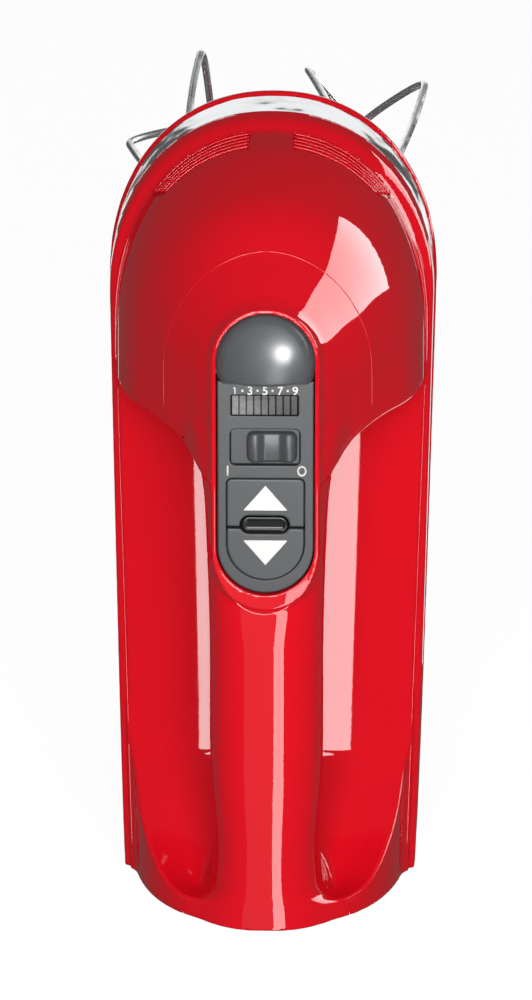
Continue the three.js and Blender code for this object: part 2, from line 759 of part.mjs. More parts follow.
function add(name, finish, solid) {
  const [color, roughness, metalness] = finishes[finish];
  const material = new THREE.MeshStandardMaterial({ color, roughness, metalness });
  material.name = finish;
  const mesh = new THREE.Mesh(geometryOf(solid), material);
  mesh.name = name;
  group.add(mesh);
}

const shells = shellPieces();
add("top_cover", "red", shells.cover);
add("mid_housing", "red", shells.mid);
add("lower_housing", "red", lowerHousing());
add("trim_band", "chrome", trimBand());
add("grip_insert", "soft", gripInsert());
add("panel_bezel", "dark", panelBezel());
add("eject_button", "dark", ejectButton());
add("display_window", "grey", box(-8.7, 8.4, 2.7, 5.6, 142.7, 147.9));
add("power_slider", "grey", powerSlider());
const keys = speedKeys();
add("speed_up_key", "dark", keys.upper);
add("speed_down_key", "dark", keys.lower);
add("indicator_lens", "black", ovalPost(0.2, 113.4, 6.5, 2.7, 1.7, 6));
add("control_board", "board", box(-11, 11, 9.2, 10.8, 97, 148).subtract(box(-3, 5, 0, 20, 131, 137.5)));
add("power_switch", "black", box(-7, 8, 11, 17, 129, 140));
add("motor_frame", "steel", motorFrame());
add("field_coil_near", "copper", fieldCoil(true));
add("field_coil_far", "copper", fieldCoil(false));
add("armature", "copper", armature());
add("commutator", "brass", commutator());
add("motor_shaft", "steel", motorShaft());
add("cooling_fan", "black", coolingFan());
add("bearing_rear", "steel", ringAboutMotor(37, 41, 3.3, 8.1));
add("bearing_front", "steel", ringAboutMotor(132.3, 136.7, 3.3, 8.1));
add("rear_bridge", "grey", rearBridge());
add("gear_case", "grey", gearCase());
add("eject_yoke", "nylon", ejectYoke());
add("eject_spring", "steel", coil(4.2, 0.4, 50, 64.8, 5, 0, 160));
for (const [word, side] of [["left", -1], ["right", 1]]) {
  const x = side * BEATER_X;
  add(`brush_${word}`, "black", brush(side));
  add(`brush_holder_${word}`, "brass", brushHolder(side));
  add(`drive_gear_${word}`, "nylon", driveGear(side));
  add(`push_pin_${word}`, "steel", post(x, BEATER_Z, PIN_R, 73.3, PIN_END, 16));
  add(`socket_collar_${word}`, "black", socketCollar(side));
  add(`beater_shaft_${word}`, "chrome", beaterShaft(side));
  add(`beater_loop_a_${word}`, "chrome", wireLoop(side, LOOP_PHASE[word], 0));
  add(`beater_loop_b_${word}`, "chrome", wireLoop(side, LOOP_PHASE[word] + 90, 3));
}
add("cord_gland", "black", cordGland());
screwSpots().forEach(([x, z], i) => add(`housing_screw_${i + 1}`, "steel", housingScrew(x, z)));

export default group;
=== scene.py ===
import json
import math

import bpy
import numpy as np
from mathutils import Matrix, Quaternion, Vector

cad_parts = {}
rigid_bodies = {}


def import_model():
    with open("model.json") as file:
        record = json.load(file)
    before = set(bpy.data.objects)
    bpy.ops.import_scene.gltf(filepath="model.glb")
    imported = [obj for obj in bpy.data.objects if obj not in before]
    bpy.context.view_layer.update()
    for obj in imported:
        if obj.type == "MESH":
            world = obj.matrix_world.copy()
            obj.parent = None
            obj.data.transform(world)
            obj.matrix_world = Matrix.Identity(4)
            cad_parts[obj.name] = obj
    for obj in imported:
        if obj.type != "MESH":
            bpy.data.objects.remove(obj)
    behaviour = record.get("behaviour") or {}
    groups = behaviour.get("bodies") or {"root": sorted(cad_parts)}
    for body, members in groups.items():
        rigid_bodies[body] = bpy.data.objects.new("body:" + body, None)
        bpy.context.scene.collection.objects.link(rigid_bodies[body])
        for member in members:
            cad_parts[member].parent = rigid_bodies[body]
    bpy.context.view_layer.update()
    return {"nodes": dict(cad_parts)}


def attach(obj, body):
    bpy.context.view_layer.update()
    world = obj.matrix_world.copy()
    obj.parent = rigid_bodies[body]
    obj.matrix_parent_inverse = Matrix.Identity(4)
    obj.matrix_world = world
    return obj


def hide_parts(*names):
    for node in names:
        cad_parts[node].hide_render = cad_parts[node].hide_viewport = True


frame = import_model()

# Lengths are in millimetres until a mesh is made. d is the depth behind the handle top, and the layers that
# slope have their named depth at the height LEVEL.
MM = 0.001
TOP = -106.0
LEVEL = 150.0
HOOD_START, BELT_START = 150.0, 158.0  # where the nose of each begins
BELT_SLOPE = 0.125
BELT_DEPTH = 66.0
BELT_HEIGHT = 6.5
CHROME_HEIGHT = 15.0
SHELL_WALL, POD_WALL = 2.6, 2.4
NOSE_POWER = 2.15
PANEL_LOW, PANEL_HIGH, PANEL_HALF = 94.6, 169.6, 12.55
BUTTON_LOW = 151.3
ARCH_HALF, ARCH_START, ARCH_TOP = 27.3, 148, 182.0
HANDLE_SEAM = 16.0
T_END_HALF = 22.3
LENS_X, LENS_Z = -0.2, 113.3
BEATER_X, BEATER_Z = 22.7, 163.0
COLUMN_HALF = 38.0
KEY_HALF, KEY_ROUND_Z = 10.1, 108.3
KNOB_X, KNOB_Z = 1.65, 133.9
TINY = 1e-9


# ---------- small maths ----------

def spline(points):
    """Natural cubic through (t, value) points, held flat past both ends."""
    t = np.array([p[0] for p in points], float)
    v = np.array([p[1] for p in points], float)
    n = len(t)
    h = np.diff(t)
    a = np.zeros((n, n))
    b = np.zeros(n)
    a[0, 0] = a[-1, -1] = 1
    for i in range(1, n - 1):
        a[i, i - 1], a[i, i], a[i, i + 1] = h[i - 1], 2 * (h[i - 1] + h[i]), h[i]
        b[i] = 3 * ((v[i + 1] - v[i]) / h[i] - (v[i] - v[i - 1]) / h[i - 1])
    c = np.linalg.solve(a, b)

    def value(q):
        q = np.clip(q, t[0], t[-1])
        i = np.clip(np.searchsorted(t, q) - 1, 0, n - 2)
        u = q - t[i]
        lin = (v[i + 1] - v[i]) / h[i] - h[i] * (2 * c[i] + c[i + 1]) / 3
        return v[i] + u * (lin + u * (c[i] + u * (c[i + 1] - c[i]) / (3 * h[i])))

    return value


def smin(a, b, k):
    """Minimum of two fields, blended over a width k."""
    h = np.clip(0.5 + 0.5 * (b - a) / k, 0, 1)
    return b + (a - b) * h - k * h * (1 - h)


def smax(a, b, k):
    """Maximum of two fields, blended over a width k."""
    return -smin(-a, -b, k)


def power_norm(a, b, p):
    """Length of (a, b) in the norm of power p, counting only what is positive."""
    return (np.maximum(a, 0) ** p + np.maximum(b, 0) ** p + TINY) ** (1 / p)


def box_field(x, y, z, lo, hi, r):
    """Rounded box in any three coordinates."""
    q = [np.abs(c - (p + s) / 2) - (s - p) / 2 + r for c, p, s in zip((x, y, z), lo, hi)]
    out = np.sqrt(sum(np.maximum(c, 0) ** 2 for c in q) + TINY)
    return out + np.minimum(np.maximum(np.maximum(q[0], q[1]), q[2]), 0) - r


def capsule_2d(x, z, half, low, high):
    """Upright stadium from low to high, half as wide as given."""
    zc = np.clip(z, low + half, high - half)
    return np.sqrt(x * x + (z - zc) ** 2 + TINY) - half


def post(x, z, cx, cz, r):
    """Round post or hole along the depth."""
    return np.sqrt((x - cx) ** 2 + (z - cz) ** 2 + TINY) - r


# ---------- outer body ----------

HOOD_SLOPE = spline([(2, -0.02), (10, -0.10), (20, -0.15), (30, -0.12), (40, -0.03), (50, 0.05),
                     (60, 0.10), (66, 0.125)])
HOOD_HALF = spline([(2, 13), (8, 17.3), (14, 20.8), (22, 25.8), (28, 29), (34, 32.2), (43, 36.5), (50, 38.9),
                    (55, 40.3), (60, 41.2), (66, 41.8)])
HOOD_NOSE = spline([(2, 170.5), (8, 173.6), (14, 177), (22, 181.6), (28, 185.8), (34, 190), (43, 195.4),
                    (52, 199.3), (58, 200.9), (66, 202.3)])
HOOD_REAR = spline([(0, 124.5), (15, 125.5), (20, 129.2), (23, 131.6), (27, 133.4), (32, 134.6),
                    (37.5, 135.1), (39.6, 135.9), (42.5, 137.6)])
HANDLE_W = spline([(0, 17.5), (9, 15.4), (18, 14.2), (37, 14.7), (70, 15), (93, 15.3), (110, 15.9),
                   (119, 16.5), (126, 17.5), (134, 18.6)])
HANDLE_T = spline([(0, 1.88), (4, 1.86), (9, 1.72), (18, 1.6), (37, 1.2), (70, 0.9), (93, 1.1), (110, 1.6),
                   (124, 2.4), (134, 3.4)])
HANDLE_B = spline([(0, 44), (9, 37), (18, 33.6), (37, 31), (70, 30), (93, 30.6), (110, 33), (124, 38),
                   (134, 44)])
SHOULDER = spline([(0, 4.2), (4, 4.8), (12, 6.3), (20, 9), (28, 13), (36, 18.5), (43, 25.5), (50, 36),
                   (55, 50), (60, 68)])
DECK_RISE = spline([(0, 5.4), (0.35, 5.0), (0.7, 3.6), (0.9, 1.9), (1.0, 0.9)])


def plan(ax, z, half, nose, start, tail_half):
    """Distance-like value from a nose-shaped outline with gently tapered sides."""
    side = tail_half + (half - tail_half) * np.clip(z / start, 0, 1) ** 0.8
    run = np.clip(z - start, 0, None) / np.maximum(nose - start, 1)
    q = power_norm(ax / np.where(z > start, half, side), run, NOSE_POWER)
    return (q - 1) * half


def belt_t(d, z):
    """Depth measured along the belt, which leans back towards the nose."""
    return d - BELT_SLOPE * (z - LEVEL)


def hood(ax, d, z):
    """The rounded hood over the motor, cut off along its rear edge."""
    t = d - HOOD_SLOPE(d) * (z - LEVEL)
    half = HOOD_HALF(t)
    f = plan(ax, z, half, HOOD_NOSE(t), HOOD_START, half) * 0.8
    f = smax(f, 2.2 - d, 2.5)
    return smax(f, HOOD_REAR(ax) - z, 0.6)


def handle(ax, d, z):
    """The grip, from the heel up to the hood."""
    half, top, bottom = HANDLE_W(z), HANDLE_T(z), HANDLE_B(z)
    mid, high = (top + bottom) / 2, (bottom - top) / 2
    p = 2.5 + 0.9 * np.clip((z - 80) / 30, 0, 1)
    q = ((ax / half) ** p + (np.abs(d - mid) / high) ** p + TINY) ** (1 / p)
    f = (q - 1) * np.minimum(half, high)
    return smax(f, z - 136, 2)


def column(ax, d, z):
    """The heel that joins the grip to the deck, hollowed beside the grip's foot."""
    q = ((ax / COLUMN_HALF) ** 2.6 + (np.clip(62 - d, 0, None) / 56.0) ** 2.05 + TINY) ** (1 / 2.3)
    f = (q - 1) * COLUMN_HALF
    lift = (DECK_RISE(ax / COLUMN_HALF) - 0.9) * np.clip((d - 20) / 25, 0, 1)
    dip = 5.0 * np.cos(np.clip((ax - 14) / 20, 0, 1) * math.pi / 2) ** 1.5
    dip = dip * np.sin(np.clip((d - 6) / 38, 0, 1) * math.pi) ** 2
    f = smax(f, (z - SHOULDER(d + lift) + dip) * 0.75, 1.0)
    return smax(f, d - 64, 1)


def deck(ax, d, z):
    """The slightly crowned surface under the grip."""
    half = 41.4 - 3.9 * np.clip(1 - z / 130, 0, 1)
    f = (BELT_DEPTH - DECK_RISE(ax / half) - belt_t(d, z)) * 0.97
    f = smax(f, ax - half, 1.0)
    return smax(f, z - HOOD_START, 2)


def belt(ax, d, z):
    """The flange round the widest part of the body."""
    t = belt_t(d, z)
    nose = np.clip((z - 165) / 30, 0, 1)
    f = plan(ax, z, 44.0, 206.0, BELT_START, 40.2)
    f = f + (0.06 + 0.2 * nose) * np.clip(BELT_DEPTH + BELT_HEIGHT - t, 0, None)
    f = smax(f, (BELT_DEPTH - 0.3 + 0.45 * np.clip(f + 3, 0, 8) - t) * 0.92, 0.8 + 1.4 * nose)
    return smax(f, t - BELT_DEPTH - BELT_HEIGHT, 0.5)


def collar(x, d, z):
    """The raised lip round the panel."""
    c = capsule_2d(x, z, PANEL_HALF, PANEL_LOW, PANEL_HIGH)
    low = np.clip((PANEL_LOW + 14 - z) / 14, 0, 1)
    f = smax(c - 1.3 - 2.2 * low ** 2, 1.0 - d, 0.7)
    return smax(f, d - 9, 3)


def solid(ax, d, z):
    """Everything above the belt, without the lip and the panel opening."""
    f = smin(hood(ax, d, z), deck(ax, d, z), 5.0 - 3.6 * np.clip((ax - 22) / 13, 0, 1))
    f = smin(f, column(ax, d, z), 4.5)
    return smin(f, handle(ax, d, z), 4.0)


def outer_skin(x, d, z):
    """The whole outside of the upper body, with the panel opening."""
    ax = np.abs(x)
    f = smin(solid(ax, d, z), collar(x, d, z), 2.2)
    c = capsule_2d(x, z, PANEL_HALF, PANEL_LOW, PANEL_HIGH)
    f = smax(f, -smax(c - 0.2, d - np.where(z > BUTTON_LOW - 2, 17, 9), 0.3), 0.35)
    f = smin(f, belt(ax, d, z), 0.8 + 2.4 * np.clip((z - 165) / 30, 0, 1))
    f = smax(f, -z, 0.5)
    return smax(f, belt_t(d, z) - BELT_DEPTH - BELT_HEIGHT, 0.4)


def cavity(x, d, z):
    """The hollow inside, a wall's thickness in from the outside and open below."""
    shallow = np.minimum(d, 60 + BELT_SLOPE * (z - LEVEL))
    f = solid(np.abs(x), shallow, z + 1.8 * np.clip((110 - z) / 20, 0, 1)) + SHELL_WALL
    return smax(f, 2.4 - z, 0.5)


def cover_side(x, d, z):
    """Negative inside the top cover's share of the shell."""
    ax = np.abs(x)
    run = np.clip(z - ARCH_START, 0, None) / (ARCH_TOP - ARCH_START)
    arch = (power_norm(ax / ARCH_HALF, run, 2.0) - 1) * ARCH_HALF
    arch = smax(smax(arch, HOOD_REAR(ax) + 1.5 - z, 1.5), d - 60, 1)
    bar = smax(smax(d - HANDLE_SEAM, ax - T_END_HALF, 0.4), z - 129, 2)
    return smin(arch, bar, 0.8)


VENT_LOW, VENT_STEP, VENT_COUNT = 55.2, 2.15, 5


def vent_reach(k):
    """How far from the middle vent line k runs."""
    return 31.6 - 0.85 * (VENT_COUNT - 1 - k)


def vent_recess(x, d, z):
    """Shallow window the louvre slats sit in."""
    ax = np.abs(x)
    t = belt_t(d, z)
    level = np.clip((t - VENT_LOW) / VENT_STEP, 0, VENT_COUNT - 1)
    f = smax(VENT_LOW - 1 - t, t - VENT_LOW - (VENT_COUNT - 1) * VENT_STEP - 1.3, 0.3)
    f = smax(f, smax(5.8 - ax, ax - vent_reach(level) - 0.3, 0.3), 0.3)
    return smax(smax(f, 180 - z, 1), -(hood(ax, d, z) + 0.55), 0.3)


def mid_field(x, d, z):
    """The deck, belt and heel, which lap under the cover round its arch."""
    side = cover_side(x, d, z)
    lap = np.clip((z - 134) / 3, 0, 1)
    skin = outer_skin(x, d, z) + 0.08 * lap * np.clip(-side / 0.3, 0, 1)
    f = np.maximum(skin, 0.02 - 0.95 * lap - side)
    f = smax(f, -vent_recess(x, d, z), 0.2)
    return smax(f, -cavity(x, d, z), 0.5)


def cover_field(x, d, z):
    """The top cover: the arch of the hood and the bar along the grip."""
    f = np.maximum(outer_skin(x, d, z), cover_side(x, d, z) + 0.02)
    f = smax(f, -cavity(x, d, z), 1)
    return smax(f, belt_t(d, z) - 50, 1)


# ---------- lower housing and trim ----------

POD_SLOPE = spline([(88, 0.125), (92, 0.122), (100, 0.1), (118, 0.05), (132, 0.015), (142, 0)])
POD_HALF = spline([(88, 44.9), (91, 44.9), (99.5, 44.3), (118, 42.6), (132, 39.8), (142, 35.2),
                   (147.6, 29.4), (150, 23)])
POD_NOSE = spline([(88, 208), (91, 207.9), (95, 206.7), (99.5, 204.6), (108, 201.6), (118, 199.2),
                   (132, 194.6), (142, 188.6), (147.6, 182), (150, 175)])
POD_TAIL = spline([(88, 0), (118, 0), (132, 0.6), (142, 4), (147.6, 10), (150, 17)])
SLOT_STEP, SLOT_COUNT = 7, 6


def pod_form(x, d, z):
    """The lower housing as a solid lump, before its top is cut along the belt."""
    ax = np.abs(x)
    u = d - POD_SLOPE(d) * (z - LEVEL)
    half = POD_HALF(u)
    f = plan(ax, z, half, POD_NOSE(u), BELT_START, half - 4.3) * 0.9
    f = smax(f, POD_TAIL(u) - z, 3)
    f = smax(f, d - 150, 3)
    return smax(f, -z, 1.2)


def pod_field(x, d, z):
    """The lower housing: a shell with a foot bar, beater sockets, side slots, screw wells and a cord hole."""
    form = pod_form(x, d, z)
    top = BELT_DEPTH + BELT_HEIGHT + CHROME_HEIGHT + 0.1
    f = smax(form, top - belt_t(d, z), 1.5)
    f = smax(f, -(form + POD_WALL), 0.5)
    heel = box_field(x, d, z, (-38.6, 58.5, 0), (38.6, 76, 2.4), 0.5)
    f = smin(f, heel, 0.6)
    ax = np.abs(x)
    f = smax(f, -post(ax, z, BEATER_X, BEATER_Z, 10.7), 0.8)
    k = np.clip(np.round((z - 85.3) / SLOT_STEP), 0, SLOT_COUNT - 1)
    slot = box_field(ax, d, z - SLOT_STEP * k, (28, 111, 84), (60, 129, 86.6), 1.2)
    f = smax(f, -slot, 0.5)
    screw = post(ax, np.abs(z - 86), 16, 26, 3.5)
    f = smax(f, -smax(screw, 140 - d, 0.3), 0.6)
    cord = post(x, z, 0, 26, 6.4)
    return smax(f, -smax(cord, 130 - d, 0.3), 0.6)


def trim_field(x, d, z):
    """The plated band under the belt, open in the middle."""
    ax = np.abs(x)
    t = belt_t(d, z)
    lean = (t - BELT_DEPTH - BELT_HEIGHT) / CHROME_HEIGHT
    f = plan(ax, z, 43.3 + 1.0 * lean, 205.5 + 1.7 * lean, BELT_START, 39.5 + 0.8 * lean)
    f = smax(f, np.abs(t - BELT_DEPTH - BELT_HEIGHT - CHROME_HEIGHT / 2) - CHROME_HEIGHT / 2 + 0.25, 0.7)
    f = smax(f, -plan(ax, z, 41.7, 203.4, BELT_START, 37.9), 0.3)
    return smax(f, 3.0 - z, 0.3)


# ---------- control panel ----------

def key_outline(x, z, grow=0.0):
    """Square-topped, round-bottomed field that holds the two speed keys."""
    half = KEY_HALF + grow
    top = box_field(x, x * 0, z, (-half, -9, 108), (half, 9, 125.7 + grow), 1.5)
    low = post(x, z, 0, KEY_ROUND_Z, KEY_HALF) - grow
    return np.minimum(top, smax(low, z - 109, 0.01))


def button_line(x):
    """Height of the curved gap between the eject button and the panel."""
    return BUTTON_LOW - 0.3 + 1.1 * (x / 12.8) ** 2


def oval(x, z, rx, rz):
    """Stadium outline of the lens window."""
    return np.hypot(x - LENS_X - np.clip(x - LENS_X, rz - rx, rx - rz), z - LENS_Z) - rz


def bezel_field(x, d, z):
    """The panel plate, with its openings for the display, the knob and the keys."""
    c = capsule_2d(x, z, PANEL_HALF - 0.05, PANEL_LOW, PANEL_HIGH)
    f = smax(smax(c, 2.1 - d, 0.5), d - 6.2, 0.3)
    f = smax(f, z - button_line(x) + 0.3, 0.3)
    window = box_field(x, d, z, (-8.9, 0, 142.5), (8.5, 9, 148.0), 0.4)
    recess = box_field(x, d, z, (-9.1, 0, 129.2), (8.9, 9, 138.9), 1.5)
    keys = smax(key_outline(x, z, 0.06), d - 9, 0.1)
    f = smax(f, -window, 0.25)
    f = smax(f, -recess, 0.35)
    return smax(f, -keys, 0.25)


def button_field(x, d, z):
    """The domed eject button, with a socket for its stem behind."""
    c = capsule_2d(x, z, PANEL_HALF - 0.15, PANEL_LOW, PANEL_HIGH)
    r2 = x ** 2 + (z - 158.2) ** 2
    dome = -2.1 + r2 * 0.017 + 0.00002 * r2 ** 2
    f = smax(c, dome - d, 2.6)
    f = smax(f, d - 7.6, 0.3)
    f = smax(f, button_line(x) - z, 0.9)
    return smax(f, -box_field(x, d, z, (-8, 5.2, 153.5), (8, 12, 164.5), 1), 0.3)


def slider_field(x, d, z):
    """Sliding thumb switch: two soft ridges with a saddle between them, and the stem below."""
    stem = box_field(x, d, z, (-0.3, 2.4, 132.2), (3.6, 6.4, 135.8), 0.5)
    block = box_field(x, x * 0, z, (-4.8, -9, 130.0), (8.1, 9, 138.1), 1.8)
    u = np.abs(x - KNOB_X)
    rise = np.clip((u - 1.6) / 2.6, 0, 1)
    top = 1.75 - 0.8 * rise ** 2 * (3 - 2 * rise) + 0.13 * np.clip(u - 4.2, 0, None) ** 2
    top = top + 0.022 * (z - KNOB_Z) ** 2
    block = smax(smax(block, top - d, 0.9), d - 3.0, 0.2)
    return smin(stem, block, 0.3)


def recess_floor_field(x, d, z):
    """Floor under the knob, with the slot its stem slides in."""
    f = box_field(x, d, z, (-9.0, 3.3, 129.3), (8.8, 4.4, 138.8), 0.2)
    return smax(f, -box_field(x, d, z, (-4.4, 2, 131.7), (4.1, 9, 136.3), 0.4), 0.2)


def key_field(x, d, z, upper):
    """One speed key, cut away round the lens."""
    f = smax(key_outline(x, z), 1.75 - d, 0.6)
    f = smax(f, d - 6.6, 0.2)
    cut = (112.75 - z) if upper else (z - 112.3)
    f = smax(f, cut, 0.5)
    groove = smax(oval(x, z, 6.35, 2.4), d - 9, 0.1)
    return smax(f, -groove, 0.5)


def lens_field(x, d, z):
    """The glossy indicator lens with its shallow dish."""
    f = smax(oval(x, z, 6.1, 2.15), 1.95 - d, 0.5)
    dish = smax(np.abs(x - LENS_X) - 4.9, np.abs(z - LENS_Z) - 1.0, 0.4)
    return smax(f, -smax(dish, d - 2.3, 0.1), 0.15)


def triangle_field(x, d, z, apex, base):
    """A printed triangle, which points from its base to its apex."""
    up = 1 if apex > base else -1
    edge = 5.75 * up * (apex - z) / abs(apex - base)
    slant = (np.abs(x) - edge) * 0.75
    f = smax(slant, up * (base - z), 0.35)
    return smax(smax(f, 1.62 - d, 0.08), d - 2.4, 0.08)


def window_field(x, d, z):
    """The dark back of the display."""
    return box_field(x, d, z, (-8.75, 3.7, 142.65), (8.35, 5.4, 147.85), 0.25)


# ---------- meshing ----------

GRID_SHIFT = 0.013
ROOT_STEPS = 6
PULL_TO_MEAN = 0.02
SKIN_BAND = 0.35


def gradient(field, p, e=0.02):
    """Slope of a field at points p, from differences over a distance e each way."""
    g = np.empty_like(p)
    for axis in range(3):
        q = p.copy()
        q[:, axis] += e
        up = field(q[:, 0], q[:, 1], q[:, 2])
        q[:, axis] -= 2 * e
        g[:, axis] = (up - field(q[:, 0], q[:, 1], q[:, 2])) / (2 * e)
    return g


def unit(v):
    return v / np.maximum(np.linalg.norm(v, axis=-1, keepdims=True), TINY)


def sample(field, axes):
    """Field values on a grid, one slice at a time to save memory."""
    x, d, z = axes
    values = np.empty((len(x), len(d), len(z)), np.float32)
    dd, zz = np.meshgrid(d, z, indexing="ij")
    for i, xi in enumerate(x):
        values[i] = field(np.full_like(dd, xi), dd, zz)
    return values


def crossed_edges(inside, axis, others):
    """Grid edges along one axis whose ends lie on different sides, away from the grid's rim."""
    first, second = [slice(None)] * 3, [slice(None)] * 3
    first[axis], second[axis] = slice(0, -1), slice(1, None)
    change = inside[tuple(first)] != inside[tuple(second)]
    for k in others:
        for rim in (slice(0, 1), slice(-1, None)):
            edge = [slice(None)] * 3
            edge[k] = rim
            change[tuple(edge)] = False
    return np.argwhere(change)


def crossing_points(field, pa, pb, va, vb):
    """Where the field passes zero between pairs of points, closed in on from both ends."""
    w0, w1 = np.zeros(len(pa)), np.ones(len(pa))
    for _ in range(ROOT_STEPS):
        w = w0 + (w1 - w0) * np.clip(va / (va - vb), 0.05, 0.95)
        p = pa + w[:, None] * (pb - pa)
        vm = field(p[:, 0], p[:, 1], p[:, 2])
        low = (vm < 0) == (va < 0)
        w0, va = np.where(low, w, w0), np.where(low, vm, va)
        w1, vb = np.where(low, w1, w), np.where(low, vb, vm)
    return p


def feature_points(quads, count_cells, p, n):
    """One point per cell, where the planes through its crossings come closest to meeting."""
    count = np.zeros(count_cells)
    mass = np.zeros((count_cells, 3))
    ata = np.zeros((count_cells, 3, 3))
    atb = np.zeros((count_cells, 3))
    nn = n[:, :, None] * n[:, None, :]
    nb = n * np.sum(n * p, 1, keepdims=True)
    for k in range(4):
        np.add.at(count, quads[:, k], 1)
        np.add.at(mass, quads[:, k], p)
        np.add.at(ata, quads[:, k], nn)
        np.add.at(atb, quads[:, k], nb)
    mass /= count[:, None]
    weight = PULL_TO_MEAN * count[:, None, None] * np.eye(3)
    atb += PULL_TO_MEAN * count[:, None] * mass
    return np.linalg.solve(ata + weight, atb[:, :, None])[:, :, 0]


def contour(field, lo, hi, step):
    """Dual contouring: one vertex per crossed cell, placed on the sharp feature where there is one."""
    axes = [np.arange(a - step, b + 2 * step, step) + GRID_SHIFT for a, b in zip(lo, hi)]
    v = sample(field, axes)
    inside = v < 0
    cells = np.array(v.shape) - 1
    rings, points, normals = [], [], []
    for axis in range(3):
        o1, o2 = [k for k in range(3) if k != axis]
        at = crossed_edges(inside, axis, (o1, o2))
        if not len(at):
            continue
        end = at.copy()
        end[:, axis] += 1
        pa, pb = (np.stack([axes[k][q[:, k]] for k in range(3)], 1) for q in (at, end))
        va, vb = (v[tuple(q.T)].astype(float) for q in (at, end))
        p = crossing_points(field, pa, pb, va, vb)
        points.append(p)
        normals.append(unit(gradient(field, p)))
        ring = []
        for s1, s2 in ((-1, -1), (0, -1), (0, 0), (-1, 0)):
            c = at.copy()
            c[:, o1] += s1
            c[:, o2] += s2
            ring.append(np.ravel_multi_index(c.T, cells))
        ring = np.stack(ring, 1)
        flip = inside[tuple(at.T)] == (axis == 1)
        ring[flip] = ring[flip][:, ::-1]
        rings.append(ring)
    ids, flat = np.unique(np.concatenate(rings), return_inverse=True)
    quads = flat.reshape(-1, 4)
    verts = feature_points(quads, len(ids), np.concatenate(points), np.concatenate(normals))
    cell = np.stack(np.unravel_index(ids, cells), 1)
    low = np.stack([axes[k][cell[:, k]] for k in range(3)], 1)
    return np.clip(verts, low - 0.1 * step, low + 1.1 * step), quads


def to_metres(p):
    """From millimetres and depth to metres in the part's frame."""
    return np.stack([p[:, 0], p[:, 1] + TOP, p[:, 2]], 1) * MM


def add_object(name, verts, faces, normals=None):
    """A smooth-shaded object from vertices in metres, with its own corner normals if they are given."""
    mesh = bpy.data.meshes.new(name)
    mesh.from_pydata(verts.tolist(), [], faces)
    mesh.polygons.foreach_set("use_smooth", np.ones(len(mesh.polygons), bool))
    if normals is not None:
        mesh.normals_split_custom_set(normals.tolist())
    mesh.update()
    obj = bpy.data.objects.new(name, mesh)
    bpy.context.scene.collection.objects.link(obj)
    return obj


def carve(name, field, lo, hi, step, skin=None):
    """A closed piece from a field, shaded with the field's normals, or the skin's where it lies on it."""
    verts, quads = contour(field, lo, hi, step)
    centre = verts[quads].mean(1)
    corner = verts[quads] + 0.3 * (centre[:, None, :] - verts[quads])
    corner = corner.reshape(-1, 3)
    normals = unit(gradient(field, corner, 0.05))
    if skin:
        on_skin = np.abs(skin(corner[:, 0], corner[:, 1], corner[:, 2])) < SKIN_BAND
        normals[on_skin] = unit(gradient(skin, corner[on_skin], 0.05))
    normals = normals.reshape(-1, 4, 3)
    a, b, c = (verts[quads[:, k]] for k in (0, 1, 2))
    face = np.cross(b - a, c - a)
    if np.sum(face * normals.mean(1)) < 0:
        quads, normals = quads[:, ::-1], normals[:, ::-1]
    return add_object(name, to_metres(verts), quads.tolist(), normals.reshape(-1, 3))


def sweep(name, path, radius, sides=14):
    """Round bar along a path in millimetres, with rounded ends."""
    path = np.array(path, float)
    tangent = unit(np.gradient(path, axis=0))
    normal = np.zeros_like(path)
    ref = np.array([0.31, 0.2, 0.93])
    normal[0] = unit(ref - tangent[0] * (ref @ tangent[0]))
    for i in range(1, len(path)):
        n = normal[i - 1] - tangent[i] * (normal[i - 1] @ tangent[i])
        normal[i] = unit(n)
    side = np.cross(tangent, normal)
    radii = np.full(len(path), radius) if np.isscalar(radius) else np.array(radius)
    angle = np.arange(sides) * 2 * math.pi / sides
    cos, sin = np.cos(angle)[None, :, None], np.sin(angle)[None, :, None]
    ring = cos * normal[:, None, :] + sin * side[:, None, :]
    verts = (path[:, None, :] + radii[:, None, None] * ring).reshape(-1, 3)
    faces = []
    for i in range(len(path) - 1):
        for k in range(sides):
            j = (k + 1) % sides
            face = (i * sides + k, i * sides + j, (i + 1) * sides + j, (i + 1) * sides + k)
            faces.append(face)
    first = tuple(reversed(range(sides)))
    last = tuple(range((len(path) - 1) * sides, len(path) * sides))
    return add_object(name, to_metres(verts), faces + [first, last])


# ---------- materials ----------

